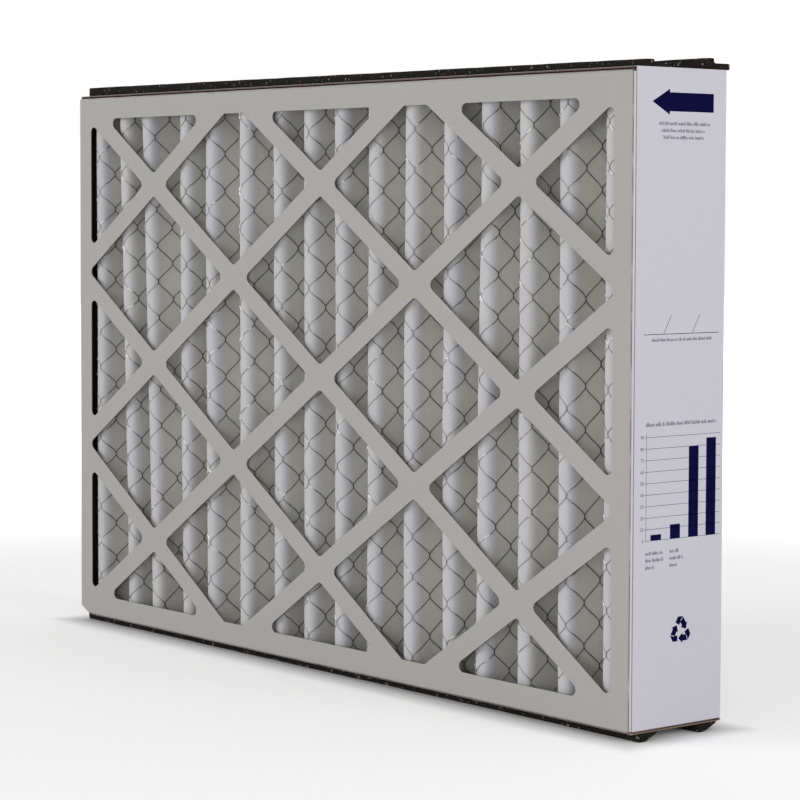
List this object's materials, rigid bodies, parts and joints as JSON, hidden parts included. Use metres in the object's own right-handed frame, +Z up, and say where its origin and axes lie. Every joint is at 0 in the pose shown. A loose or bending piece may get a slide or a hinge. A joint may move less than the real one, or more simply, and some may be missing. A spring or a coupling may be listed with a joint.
{
  "type": "pleated air purifier filter",
  "caption": "Pleated panel filter: wire-backed felt folded deep, in a two-part board frame with a diamond lattice on both faces, a printed end panel and foam seal strips along top and bottom.",
  "frame": {"origin": "middle of the floor under the two bottom seal strips, at the centre of the bounding box's base", "axes": "+X runs along the length to the printed end panel, +Y from the face where the air leaves to the face where it enters, +Z up"},
  "size_m": [0.616, 0.081, 0.4135],
  "materials": {
    "front_board": "matte, grey-beige coated face, brown core at cut edges",
    "rear_board": "matte, bluish white printed face, brown core at cut edges",
    "felt": "matte non-woven synthetic felt",
    "wire": "dull galvanised wire",
    "foam": "open-cell black foam"
  },
  "bodies": {
    "root": {"front_frame": "front_board", "rear_frame": "rear_board", "pleated_felt": "felt", "wire_mesh": "wire", "seal_top_front": "foam", "seal_top_rear": "foam", "seal_bottom_front": "foam", "seal_bottom_rear": "foam"}
  },
  "joints": []
}
